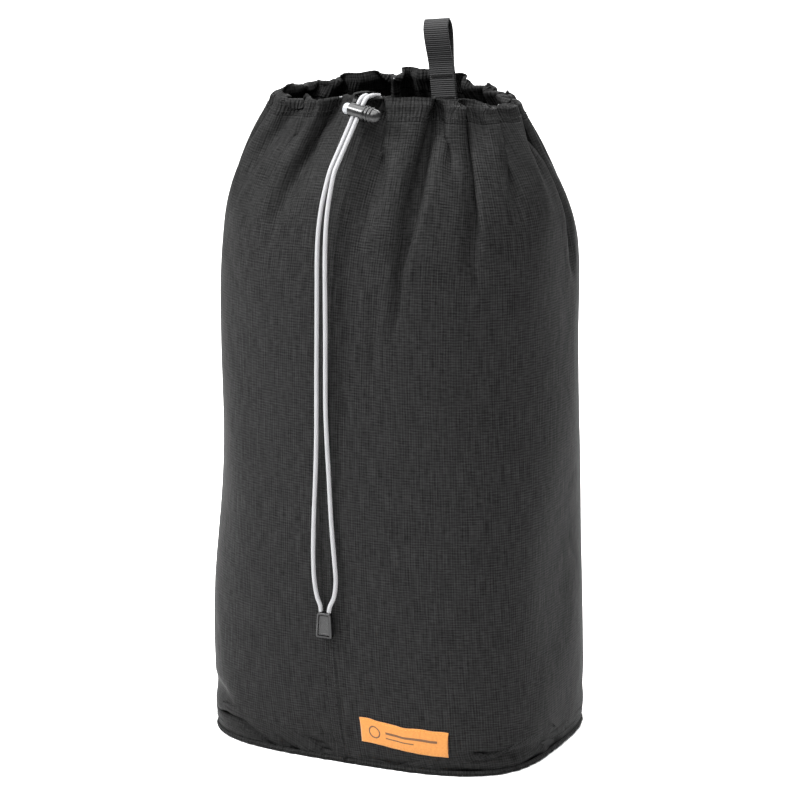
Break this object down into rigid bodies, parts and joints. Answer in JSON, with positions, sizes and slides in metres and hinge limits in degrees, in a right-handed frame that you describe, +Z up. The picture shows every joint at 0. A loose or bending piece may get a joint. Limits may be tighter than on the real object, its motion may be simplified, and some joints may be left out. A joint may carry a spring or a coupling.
{
  "type": "compression sack",
  "caption": "Tall drawstring stuff sack standing upright: round-cornered base, gathered mouth with cord lock and long light cords, webbing haul loop and small front label.",
  "frame": {"origin": "middle of the base on the floor, under the middle of the sack's bounding box without its free cords", "axes": "+Z up; +X to the sack's right seen from its front; -Y out of the front, where the seam, the cords and the label are"},
  "size_m": [0.272, 0.2195, 0.5377],
  "materials": {
    "ripstop_nylon": "black coated ripstop nylon, low sheen",
    "webbing": "black ribbed grosgrain webbing",
    "braided_cord": "light grey round braided cord",
    "sewing_thread": "black bonded sewing thread",
    "woven_label": "orange tan woven ribbon",
    "label_thread": "tan sewing thread",
    "black_plastic": "black moulded acetal, satin",
    "plunger_plastic": "grey moulded acetal, smooth",
    "spring_steel": "bright spring wire"
  },
  "bodies": {
    "sack": {"body_wrap": "ripstop_nylon", "base_panel": "ripstop_nylon", "base_seam_welt": "ripstop_nylon", "base_seam_binding": "webbing", "base_seam_stitching": "sewing_thread", "front_seam_fell": "ripstop_nylon", "front_seam_stitching_left": "sewing_thread", "front_seam_stitching_right": "sewing_thread", "drawcord_channel": "ripstop_nylon", "channel_stitching": "sewing_thread", "drawcord_in_channel": "braided_cord", "cord_exit_bartack_left": "sewing_thread", "cord_exit_bartack_right": "sewing_thread", "haul_loop_anchor": "webbing", "haul_loop_bartack_upper": "sewing_thread", "haul_loop_bartack_lower": "sewing_thread", "woven_label": "woven_label", "label_stitching_lower": "label_thread", "label_stitching_upper": "label_thread"},
    "cord_tails": {"drawcord_tail_left": "braided_cord", "drawcord_tail_right": "braided_cord", "cord_end_body": "black_plastic", "cord_end_lid": "black_plastic"},
    "cord_lock": {"cord_lock_barrel": "black_plastic", "cord_lock_spring": "spring_steel"},
    "lock_plunger": {"cord_lock_plunger": "plunger_plastic"},
    "haul_loop": {"haul_loop": "webbing"}
  },
  "joints": [
    {"name": "cord_tails_swing", "type": "hinge", "parent": "sack", "child": "cord_tails", "pos_m": [0.006, -0.067, 0.4934], "axis": [-1, 0, 0], "range_deg": [0, 40]},
    {"name": "cord_lock_slide", "type": "slide", "parent": "cord_tails", "child": "cord_lock", "axis": [-0.2, -0.475, -0.857], "range_m": [0, 0.036]},
    {"name": "lock_plunger_press", "type": "slide", "parent": "cord_lock", "child": "lock_plunger", "axis": [0.9798, -0.097, -0.1749], "range_m": [0, 0.0025], "stiffness_N_per_m": 800, "springref_m": -0.004, "deforming": ["cord_lock_spring"]},
    {"name": "haul_loop_flex", "type": "hinge", "parent": "sack", "child": "haul_loop", "pos_m": [0.015, 0.0415, 0.4986], "axis": [1, 0, 0], "range_deg": [-15, 85], "stiffness_Nm_per_rad": 0.02}
  ]
}
